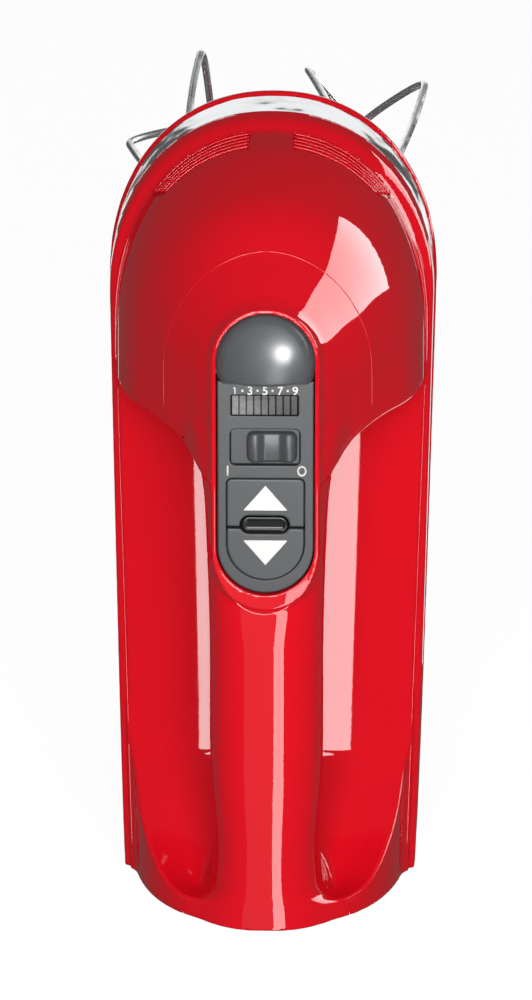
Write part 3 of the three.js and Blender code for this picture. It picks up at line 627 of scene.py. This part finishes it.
class Look:
    """A node material built step by step around one Principled shader."""

    def __init__(self, name, color, rough, metal=0.0, ior=1.5, coat=0.0, coat_rough=0.03):
        self.mat = bpy.data.materials.new(name)
        self.mat.use_nodes = True
        self.nodes = self.mat.node_tree.nodes
        self.links = self.mat.node_tree.links
        self.shader = self.nodes["Principled BSDF"]
        self.shader.inputs["Base Color"].default_value = (*color, 1)
        self.shader.inputs["Roughness"].default_value = rough
        self.shader.inputs["Metallic"].default_value = metal
        self.shader.inputs["IOR"].default_value = ior
        self.shader.inputs["Coat Weight"].default_value = coat
        self.shader.inputs["Coat Roughness"].default_value = coat_rough
        self.color = color
        self.rough = rough
        self.place = self.nodes.new("ShaderNodeTexCoord").outputs["Object"]

    def noise(self, scale, detail=3.0, rough=0.55, stretch=None):
        """Noise in the object's own space, with that many features to the metre."""
        node = self.nodes.new("ShaderNodeTexNoise")
        node.inputs["Scale"].default_value = scale
        node.inputs["Detail"].default_value = detail
        node.inputs["Roughness"].default_value = rough
        place = self.place
        if stretch:
            mapping = self.nodes.new("ShaderNodeMapping")
            mapping.inputs["Scale"].default_value = stretch
            self.links.new(place, mapping.inputs["Vector"])
            place = mapping.outputs["Vector"]
        self.links.new(place, node.inputs["Vector"])
        return node.outputs["Fac"]

    def span(self, fac, low, high, from_low=0.3, from_high=0.7):
        """A noise value spread over the range from low to high."""
        node = self.nodes.new("ShaderNodeMapRange")
        self.links.new(fac, node.inputs["Value"])
        limits = {"From Min": from_low, "From Max": from_high, "To Min": low, "To Max": high}
        for key, value in limits.items():
            node.inputs[key].default_value = value
        return node.outputs["Result"]

    def tint(self, fac, other, amount=1.0):
        """Mix another colour in by a noise value."""
        node = self.nodes.new("ShaderNodeMix")
        node.data_type = "RGBA"
        node.inputs["A"].default_value = (*self.color, 1)
        node.inputs["B"].default_value = (*other, 1)
        self.links.new(self.span(fac, 0.0, amount), node.inputs["Factor"])
        self.links.new(node.outputs["Result"], self.shader.inputs["Base Color"])
        return self

    def vary_rough(self, fac, spread):
        """Let the roughness wander by that much each way."""
        rough = self.span(fac, self.rough - spread, self.rough + spread)
        self.links.new(rough, self.shader.inputs["Roughness"])
        return self

    def bump(self, fac, strength, distance):
        """Fine relief of that height, in metres."""
        node = self.nodes.new("ShaderNodeBump")
        node.inputs["Strength"].default_value = strength
        node.inputs["Distance"].default_value = distance
        self.links.new(fac, node.inputs["Height"])
        self.links.new(node.outputs["Normal"], self.shader.inputs["Normal"])
        return self


def red_plastic():
    """Glossy moulded plastic with a barely visible orange peel."""
    look = Look("red_gloss", (0.66, 0.0035, 0.012), 0.03, ior=1.5)
    look.tint(look.noise(14, 2), (0.62, 0.003, 0.011), 0.6)
    look.vary_rough(look.noise(60, 4), 0.01)
    return look.bump(look.noise(2600, 2), 0.03, 0.00001).mat


def satin_grey(name, color, rough=0.38, grain=2400):
    """Finely grained moulded plastic."""
    look = Look(name, color, rough, ior=1.5)
    look.tint(look.noise(40, 3), tuple(c * 0.86 for c in color), 0.7)
    look.vary_rough(look.noise(120, 4), 0.05)
    return look.bump(look.noise(grain, 3), 0.12, 0.00002).mat


def chrome(name, rough=0.05, level=0.74, ripple=0.00001, scale=900):
    """Plated metal whose surface ripples by the given height, in metres."""
    look = Look(name, (level, level * 1.01, level * 1.03), rough, metal=1.0)
    look.vary_rough(look.noise(90, 4), rough * 0.5)
    return look.bump(look.noise(scale, 2), 1.0, ripple).mat


def metal(name, color, rough, scale=300, stretch=(1, 1, 30)):
    """Bare metal, brushed along the stretched axis."""
    look = Look(name, color, rough, metal=1.0)
    look.tint(look.noise(50, 3), tuple(c * 0.8 for c in color), 0.8)
    look.vary_rough(look.noise(scale, 4, stretch=stretch), 0.08)
    return look.bump(look.noise(scale, 3, stretch=stretch), 0.15, 0.00003).mat


def soft_rubber():
    look = Look("soft_rubber", (0.045, 0.046, 0.05), 0.65, ior=1.48)
    look.tint(look.noise(60, 3), (0.03, 0.03, 0.033), 0.8)
    return look.bump(look.noise(1500, 4), 0.35, 0.00006).mat


def circuit_board():
    look = Look("circuit_board", (0.02, 0.14, 0.06), 0.3, coat=0.4)
    look.tint(look.noise(500, 1, stretch=(1, 1, 0.2)), (0.03, 0.22, 0.09), 1)
    return look.bump(look.noise(800, 2), 0.2, 0.00004).mat


RED = red_plastic()
PANEL = satin_grey("panel_grey", (0.040, 0.0435, 0.0465), 0.36)
DOME = satin_grey("dome_grey", (0.082, 0.088, 0.093), 0.31)
KEY = satin_grey("key_grey", (0.043, 0.047, 0.050), 0.36)
KNOB = satin_grey("knob_grey", (0.056, 0.060, 0.063), 0.36)
DARK = satin_grey("recess_dark", (0.012, 0.012, 0.013), 0.5)
BLACK = satin_grey("black_gloss", (0.006, 0.006, 0.007), 0.08)
NYLON = satin_grey("nylon", (0.72, 0.69, 0.60), 0.45, 1500)
WHITE = satin_grey("legend_white", (0.74, 0.74, 0.73), 0.5)
CHROME = chrome("trim_chrome", 0.12, ripple=0.0008, scale=60)
WIRE = chrome("wire_chrome", 0.30, 0.80)
STEEL = metal("steel", (0.56, 0.57, 0.58), 0.3)
ALU = metal("cast_aluminium", (0.62, 0.63, 0.65), 0.45, 500, (1, 1, 1))
BRASS = metal("brass", (0.72, 0.52, 0.22), 0.3)
COPPER = metal("copper_wire", (0.60, 0.24, 0.10), 0.35, 700, (1, 1, 14))
RUBBER = soft_rubber()
BOARD = circuit_board()


def paint(obj, material):
    obj.data.materials.clear()
    obj.data.materials.append(material)
    return obj


def piece(obj, body, material, slot, *nodes):
    """Paint a piece, hang it on its body and hide the CAD nodes it stands for."""
    paint(obj, material)
    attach(obj, body)
    if nodes:
        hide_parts(*nodes)
    return obj


# ---------- housings ----------

COARSE = 1.0
FINE = 0.3 * 1.0


def red_piece(obj, *nodes):
    """A piece of the glossy red housing."""
    return piece(obj, "housing", RED, "red_shell", *nodes)


red_piece(carve("mid_shell", mid_field, (-45, 1, 0), (45, 82, 207), 0.85 * COARSE, outer_skin),
          "mid_housing")
red_piece(carve("cover_shell", cover_field, (-28.5, 0, 0), (28.5, 50, 184), 0.62 * COARSE, outer_skin),
          "top_cover")
red_piece(carve("pod_shell", pod_field, (-46, 57, 0), (46, 151, 209), 1.25 * COARSE), "lower_housing")
piece(carve("chrome_band", trim_field, (-45.5, 53, 2), (45.5, 96, 208.5), 0.8 * COARSE),
      "housing", CHROME, "trim_chrome", "trim_band")


def surface_point(field, x, z, near, far):
    """Depth at which the line through (x, z) first meets the surface."""
    d = np.linspace(near, far, 400)
    inside = field(np.full_like(d, x), d, np.full_like(d, z)) < 0
    return d[np.argmax(inside)] if inside.any() else far


def seam_line(side):
    """The cover's outline on the outer surface, from the wing up to the crown of the arch."""
    plan_points = [(ARCH_HALF, z) for z in np.linspace(137.5, ARCH_START, 8)]
    plan_points += [(ARCH_HALF * math.cos(a), ARCH_START + (ARCH_TOP - ARCH_START) * math.sin(a))
                    for a in np.linspace(0, math.pi / 2, 50)[1:]]
    out = []
    for ax, z in plan_points:
        out.append((side * ax, surface_point(outer_skin, side * ax, z, 4, 60) + 0.02, z))
    return out


def wing_line(side):
    """The lip along the hood's rear edge, from beside the handle out to the tip at the belt."""
    out = []
    for ax in np.linspace(22, 39.6, 40):
        z = HOOD_REAR(ax) + 0.3
        out.append((side * ax, surface_point(outer_skin, side * ax, z, 4, 72), z))
    return out


def flange_line(side):
    """The lip between the deck and the belt, beside the handle."""
    out = []
    for z in np.linspace(6, 134, 60):
        x = side * (41.55 - 3.9 * np.clip(1 - z / 130, 0, 1))
        out.append((x, surface_point(outer_skin, x, z, 20, 72) + 0.05, z))
    return out


def belt_line(side):
    """The same lip further on, where the belt turns in round the hood."""
    out = []
    for z in np.linspace(138, 174, 60):
        run = max(z - HOOD_START, 0) / 52.3
        x = side * (41.9 * (1 - run ** NOSE_POWER) ** (1 / NOSE_POWER) + 0.25)
        out.append((x, surface_point(outer_skin, x, z, 30, 75) + 0.05, z))
    return out


def smooth_path(path, times=6):
    """A path with its inner points evened out several times over."""
    path = np.array(path, float)
    for _ in range(times):
        path[1:-1] = 0.5 * path[1:-1] + 0.25 * (path[:-2] + path[2:])
    return path


def bar(name, origins, u_axes, v_axes, section):
    """Solid bar with a polygon section carried along frames, its long faces crisp."""
    section = np.array(section, float)
    count, sides = len(origins), len(section)
    turn = 1 if np.cross(u_axes[0], v_axes[0]) @ (origins[1] - origins[0]) > 0 else -1
    along_u, along_v = section[None, :, 0, None], section[None, :, 1, None]
    ring = along_u * u_axes[:, None, :] + along_v * v_axes[:, None, :]
    verts = (origins[:, None, :] + ring).reshape(-1, 3)
    edge = np.roll(section, -1, 0) - section
    across = np.stack([edge[:, 1], -edge[:, 0]], 1)
    faces, normals = [], []
    for i in range(count - 1):
        for k in range(sides):
            j = (k + 1) % sides
            face = (i * sides + k, i * sides + j, (i + 1) * sides + j, (i + 1) * sides + k)
            faces.append(face[::turn])
            n = [across[k, 0] * u_axes[m] + across[k, 1] * v_axes[m] for m in (i, i + 1)]
            normals += [n[0], n[0], n[1], n[1]][::turn]
    for i, order in ((0, range(sides)[::-1]), (count - 1, range(sides))):
        faces.append(tuple(i * sides + k for k in order[::turn]))
        way = origins[i] - origins[1 if i == 0 else -2]
        normals += [way] * sides
    return add_object(name, to_metres(verts), faces, unit(np.array(normals)))


def slat(side, k):
    """One louvre slat, with a crisp front face that looks out along the belt's own plane, and its rim."""
    t = VENT_LOW + VENT_STEP * k
    reach = np.linspace(5.95, vent_reach(k) + 0.1, 40)
    points = []
    for ax in reach:
        z = np.linspace(206, 176, 1500)
        d = t + BELT_SLOPE * (z - LEVEL)
        i = np.argmax(outer_skin(np.full_like(z, side * ax), d, z) < 0)
        points.append((side * ax, d[i], z[i]))
    points = smooth_path(points, 4)
    out = gradient(outer_skin, points)
    out[:, 1] = 0
    out = unit(smooth_path(unit(out), 12))
    back = np.tile([0.0, 1.0, 0.0], (len(points), 1))
    label = "left" if side < 0 else "right"
    section = [(-0.8, 0.1), (-0.3, 0.1), (-0.3, 1.2), (-0.8, 1.2)]
    blade = bar(f"vent_slat_{label}_{k + 1}", points, out, back, section)
    rim = sweep(f"vent_rim_{label}_{k + 1}", points - 0.08 * out, 0.34, 12)
    return blade, rim


SIDES = ((-1, "left"), (1, "right"))
BEAD = 0.24
for side, label in SIDES:
    red_piece(sweep(f"seam_bead_{label}", smooth_path(seam_line(side)), BEAD, 10))
    lip = np.concatenate([np.linspace(0.1, 0.3, 38), [0.26, 0.12]])
    red_piece(sweep(f"wing_bead_{label}", smooth_path(wing_line(side)), lip, 10))
    for k in range(VENT_COUNT):
        for part in slat(side, k):
            red_piece(part)


# ---------- panel ----------

piece(carve("panel_plate", bezel_field, (-13.2, 1.8, 94), (13.2, 6.4, 152), FINE),
      "housing", PANEL, "panel_plastic", "panel_bezel")
piece(carve("slider_bed", recess_floor_field, (-9.4, 3, 129), (9.2, 4.8, 139.2), FINE),
      "housing", PANEL, "panel_plastic")
piece(carve("dome_cap", button_field, (-13.2, -2, 150), (13.2, 7.8, 170), FINE),
      "eject", DOME, "panel_plastic")
piece(carve("power_knob_cap", slider_field, (-5.2, 0.4, 129.6), (8.4, 6.8, 138.4), FINE),
      "power_knob", KNOB, "grey_plastic", "power_slider")
for way, upper, low, high in (("up", True, 112, 126), ("down", False, 98, 112.5)):
    shape = lambda x, d, z, u=upper: key_field(x, d, z, u)
    piece(carve(f"key_{way}", shape, (-10.5, 1.5, low), (10.5, 6.8, high), FINE),
          f"speed_{way}", KEY, "panel_plastic", f"speed_{way}_key")
piece(carve("lens_oval", lens_field, (-6.8, 1.7, 110.5), (6.8, 6.2, 116.2), 0.22),
      "housing", BLACK, "black_plastic", "indicator_lens")
for way, apex, base, low, high in (("up", 123.9, 117.2, 117, 124), ("down", 102.4, 109.1, 102, 109.3)):
    shape = lambda x, d, z, a=apex, b=base: triangle_field(x, d, z, a, b)
    piece(carve(f"arrow_{way}", shape, (-6, 1.5, low), (6, 2.6, high), 0.2),
          f"speed_{way}", WHITE, "grey_plastic")


SEGMENTS, SEGMENT_STEP = 9, 1.89
SCALE_STEP = 3.87
PRINT_DEPTH = 2.02
PRINT_RISE = 0.00006


def window_bars():
    """Display segments behind the window, lighter to the left, with a painted reflection of the window's
    glass streaked over each.
    """
    for i in range(SEGMENTS):
        x0 = -8.6 + i * SEGMENT_STEP
        shade = 0.20 * (1 - i / (SEGMENTS - 1)) ** 1.2 + 0.035
        look = Look(f"segment_shade_{i + 1}", (shade, shade, shade * 1.03), 0.3, ior=1.45)
        # The stretched noise tinted darker into each segment is a painted reflection of the window's glass,
        # not the segments' own colour.
        look.tint(look.noise(420, 2, stretch=(0.3, 1, 1)), tuple([shade * 0.35] * 3), 1.0)
        look.bump(look.noise(1200, 2), 0.15, 0.00002)
        shape = lambda x, d, z, a=x0: box_field(x, d, z, (a, 2.35, 142.7), (a + 1.7, 3.6, 147.8), 0.15)
        segment = carve(f"segment_{i + 1}", shape, (x0 - 0.1, 2.2, 142.5), (x0 + 1.85, 3.8, 148.0), 0.2)
        piece(segment, "housing", look.mat, "grey_plastic")


def printed(obj):
    """A piece of the panel's white print."""
    return piece(obj, "housing", WHITE, "grey_plastic")


def word(name, text, x, z, size):
    """Raised print in the default typeface, turned to face the front."""
    curve = bpy.data.curves.new(name, "FONT")
    curve.body = text
    curve.size = size * MM
    curve.extrude = PRINT_RISE
    curve.offset = PRINT_RISE
    curve.align_x, curve.align_y = "CENTER", "CENTER"
    temp = bpy.data.objects.new(name + "_temp", curve)
    bpy.context.scene.collection.objects.link(temp)
    temp.rotation_euler = (math.pi / 2, 0, 0)
    temp.location = (x * MM, (PRINT_DEPTH + TOP) * MM, z * MM)
    bpy.context.view_layer.update()
    graph = bpy.context.evaluated_depsgraph_get()
    mesh = bpy.data.meshes.new_from_object(temp.evaluated_get(graph))
    mesh.transform(temp.matrix_world)
    bpy.data.objects.remove(temp)
    obj = bpy.data.objects.new(name, mesh)
    bpy.context.scene.collection.objects.link(obj)
    return printed(obj)


window_bars()
piece(carve("window_back", window_field, (-9, 3, 142), (9, 5.6, 148.2), 0.3),
      "housing", DARK, "grey_plastic", "display_window")
for i, digit in enumerate("3579"):
    word(f"digit_{digit}", digit, -3.95 + SCALE_STEP * i, 149.1, 3.1)
one = [(-8.25, 2.0, 149.75), (-8.15, 2.0, 149.85), (-7.85, 2.0, 150.1), (-7.8, 2.0, 149.9),
       (-7.8, 2.0, 148.3), (-7.8, 2.0, 148.2)]
printed(sweep("digit_1", one, [0.1, 0.17, 0.2, 0.2, 0.2, 0.1], 8))
for i in range(4):
    dot = [(-5.9 + SCALE_STEP * i, PRINT_DEPTH + k * 0.03, 149.2) for k in (-1.5, -1, 0, 1)]
    printed(sweep(f"dot_{i + 1}", dot, [0.2, 0.3, 0.32, 0.32], 12))
mark = [(-9.75, 1.98, z) for z in (126.5, 126.6, 127.9, 129.1, 129.2)]
printed(sweep("mark_on", mark, [0.15, 0.28, 0.28, 0.28, 0.15], 10))
angles = np.linspace(0, 2 * math.pi, 41)
loop = [(9.4 + 1.0 * math.cos(a), 1.98, 127.8 + 1.2 * math.sin(a)) for a in angles]
printed(sweep("mark_off", loop, 0.26, 8))


def scallop(count=50):
    """Fine crescent line pressed in below the panel."""
    angle = np.radians(np.linspace(-152, -28, count))
    flat = np.zeros(count)
    points = np.stack([9.6 * np.cos(angle) - 0.3, flat, 98.7 + 9.6 * np.sin(angle)], 1)
    points[:, 1] = [surface_point(outer_skin, p[0], p[2], -1, 20) for p in points]
    points = smooth_path(points, 5)
    out = np.stack([np.cos(angle), flat, np.sin(angle)], 1)
    back = np.tile([0.0, 1.0, 0.0], (count, 1))
    run = np.abs(np.linspace(-1, 1, count))
    size = 0.35 + 0.65 * run ** 2
    taper = np.clip((1 - run) * 9, 0.1, 1)
    section = [(-0.3, 0.5), (-0.22, 0.0), (0.2, -0.09), (0.3, 0.5)]
    return bar("scallop_line", points, out * (size * taper)[:, None] * 1.3, back, section)


red_piece(scallop())
swell = 0.42 * np.clip(np.sin(np.linspace(0.05, math.pi - 0.05, 60)) * 2.2, 0, 1)
for side, label in SIDES:
    red_piece(sweep(f"flange_bead_{label}", smooth_path(flange_line(side), 8), BEAD, 10))
    red_piece(sweep(f"belt_bead_{label}", smooth_path(belt_line(side), 8), swell, 12))


# ---------- beater wires ----------

CAGE_TOP, CAGE_WIDEST, CAGE_TIP, CAGE_RADIUS = 158.4, 249.0, 262.0, 26.0
HUB_RADIUS = 4.9
WIRE_RADIUS = 1.15


def wire_path(side, phase, lift):
    """One closed-ended wire loop of a beater cage, from one arm round the tip to the other."""
    half = []
    for d in (CAGE_TOP, 166, 180, 200, 222, 238, 245):
        r = HUB_RADIUS + (CAGE_RADIUS - HUB_RADIUS) * (d - CAGE_TOP) / (CAGE_WIDEST - CAGE_TOP)
        half.append((r, d))
    half += [(CAGE_RADIUS - 0.5, CAGE_WIDEST), (CAGE_RADIUS - 2.6, CAGE_WIDEST + 3)]
    half += [(CAGE_RADIUS - 8, CAGE_WIDEST + 6.4 - lift * 0.4)]
    half += [(9, CAGE_TIP - 2.6 - lift), (3, CAGE_TIP - 1.2 - lift)]
    points = []
    for arm in (0, 1):
        turned = []
        for r, d in half:
            a = math.radians(phase) + arm * math.pi - side * 0.0045 * (CAGE_WIDEST - d)
            turned.append((side * BEATER_X + r * math.cos(a), d, BEATER_Z + r * math.sin(a)))
        points += turned[::-1] if arm else turned
    points = np.array(points)
    run = np.concatenate([[0], np.cumsum(np.sqrt(np.linalg.norm(np.diff(points, axis=0), axis=1)))])
    curves = [spline(list(zip(run, points[:, axis]))) for axis in range(3)]
    t = np.linspace(0, run[-1], 150)
    return np.stack([curve(t) for curve in curves], 1)


CAGE_TURN = {"left": 7, "right": 38}
for side, label in SIDES:
    for loop_name, turn, lift in (("a", 0, 0), ("b", 90, 3)):
        route = wire_path(side, CAGE_TURN[label] + turn, lift)
        piece(sweep(f"wire_{loop_name}_{label}", route, WIRE_RADIUS, 16),
              f"beater_{label}", WIRE, "beater_chrome", f"beater_loop_{loop_name}_{label}")


# ---------- camera, light, floor ----------

scene = bpy.context.scene


def add_camera():
    """Long lens from the front, looking down at the part."""
    data = bpy.data.cameras.new("camera")
    camera = bpy.data.objects.new("camera", data)
    scene.collection.objects.link(camera)
    scene.camera = camera
    data.sensor_width = 36
    data.lens = 157.4
    data.clip_end = 50
    eye = Vector((0.026527, -1.18322, 0.450017))
    aim = Vector((-0.001511, -0.036, 0.09917))
    camera.location = eye
    camera.rotation_euler = (aim - eye).to_track_quat("-Z", "Y").to_euler()


def floor(half=9.0, n=40):
    """Plain pale floor, in metres, just below the part."""
    axis = np.linspace(-half, half, n)
    verts = np.array([[a, b, -0.0002] for a in axis for b in axis])
    faces = [(i * n + j, (i + 1) * n + j, (i + 1) * n + j + 1, i * n + j + 1)
             for i in range(n - 1) for j in range(n - 1)]
    obj = add_object("studio_floor", verts, faces)
    look = Look("floor_white", (0.14, 0.14, 0.14), 0.8, ior=1.2)
    look.tint(look.noise(3, 2), (0.135, 0.135, 0.135), 1)
    look.bump(look.noise(200, 3), 0.05, 0.0001)
    look.shader.inputs["Emission Color"].default_value = (1, 1, 1, 1)
    look.shader.inputs["Emission Strength"].default_value = 0.93
    look.shader.inputs["Specular IOR Level"].default_value = 0
    paint(obj, look.mat)
    obj.visible_glossy = False
    obj.visible_diffuse = False


def softbox(name, place, turn, size, radiance, shows=True, lights=True, roll=0):
    """Rectangular studio card. turn gives azimuth from the front and elevation in degrees, and place
    gives its distance and the point of the object that it faces."""
    distance, target = place
    az, el = (math.radians(a) for a in turn)
    way = Vector((math.sin(az) * math.cos(el), -math.cos(az) * math.cos(el), math.sin(el)))
    target = Vector(target)
    data = bpy.data.lights.new(name, "AREA")
    data.shape = "RECTANGLE"
    data.size, data.size_y = size
    data.energy = radiance * math.pi * size[0] * size[1]
    obj = bpy.data.objects.new(name, data)
    scene.collection.objects.link(obj)
    obj.location = target + way * distance
    facing = (-way).to_track_quat("-Z", "Y")
    obj.rotation_euler = (Quaternion(way, math.radians(roll)) @ facing).to_euler()
    obj.visible_glossy = shows
    obj.visible_diffuse = lights
    obj.visible_camera = False
    return obj


def world():
    """Even surroundings, dimmer where they are seen in a reflection."""
    w = bpy.data.worlds.new("studio")
    scene.world = w
    w.use_nodes = True
    nodes, links = w.node_tree.nodes, w.node_tree.links
    back = nodes["Background"]
    path = nodes.new("ShaderNodeLightPath")
    level = nodes.new("ShaderNodeMapRange")
    links.new(path.outputs["Is Glossy Ray"], level.inputs["Value"])
    level.inputs["To Min"].default_value = 0.3
    level.inputs["To Max"].default_value = 0.10
    links.new(level.outputs["Result"], back.inputs["Strength"])
    back.inputs["Color"].default_value = (1, 1, 1, 1)


add_camera()
floor()
world()
MIDDLE = (0.0, -0.06, 0.1)
softbox("key_diffuse", (0.75, MIDDLE), (3, 16), (0.46, 0.40), 10.0, shows=False)
softbox("side_diffuse", (1.3, MIDDLE), (50, 14), (0.7, 0.7), 0.7, shows=False)
front = softbox("card_front", (1.25, (0.0, -0.053, 0.035)), (0.5, 7.4), (0.6, 0.63), 11, lights=False)
softbox("card_hood", (1.0, (0.022, -0.08, 0.172)), (110, 19.5), (0.78, 0.70), 7.0, lights=False, roll=-5)
softbox("card_strip", (0.9, (0.004, -0.104, 0.06)), (12, -27), (0.23, 0.44), 7.5, lights=False)
softbox("card_fill", (0.9, (0.0, -0.104, 0.06)), (-12, -26), (0.5, 0.5), 0.4, lights=False)
softbox("card_back", (1.2, (0.0, -0.02, 0.2)), (180, 1.5), (0.87, 1.22), 1.0, lights=False)
spark = softbox("card_spark", (1.2, (0.004, -0.107, 0.159)), (17, -11), (0.3, 0.3), 230, lights=False)


def link_light(light, names, keep):
    """Show a card only to the named pieces, or to every piece but those."""
    group = bpy.data.collections.new(light.name + "_receivers")
    light.light_linking.receiver_collection = group
    for obj in scene.objects:
        if obj.type == "MESH" and (obj.name in names) == keep:
            group.objects.link(obj)


link_light(spark, {"dome_cap"}, True)
link_light(front, {"dome_cap"}, False)
scene.view_settings.view_transform = "Standard"
scene.view_settings.look = "None"


# ---------- carried-over CAD nodes ----------

NODE_LOOKS = {
    "eject_button": DOME, "eject_yoke": NYLON, "eject_spring": STEEL, "control_board": BOARD,
    "power_switch": BLACK, "motor_frame": STEEL, "field_coil_near": COPPER, "field_coil_far": COPPER,
    "armature": COPPER, "commutator": BRASS, "motor_shaft": STEEL, "cooling_fan": BLACK,
    "bearing_rear": STEEL, "bearing_front": STEEL, "rear_bridge": NYLON, "gear_case": ALU,
    "cord_gland": RUBBER, "grip_insert": RUBBER,
}
for _, label in SIDES:
    NODE_LOOKS[f"brush_{label}"] = BLACK
    NODE_LOOKS[f"brush_holder_{label}"] = BRASS
    NODE_LOOKS[f"drive_gear_{label}"] = NYLON
    NODE_LOOKS[f"push_pin_{label}"] = STEEL
    NODE_LOOKS[f"socket_collar_{label}"] = BLACK
    NODE_LOOKS[f"beater_shaft_{label}"] = WIRE
for i in range(4):
    NODE_LOOKS[f"housing_screw_{i + 1}"] = STEEL
for name, material in NODE_LOOKS.items():
    node = frame["nodes"][name]
    for entry in node.material_slots:
        entry.material = material
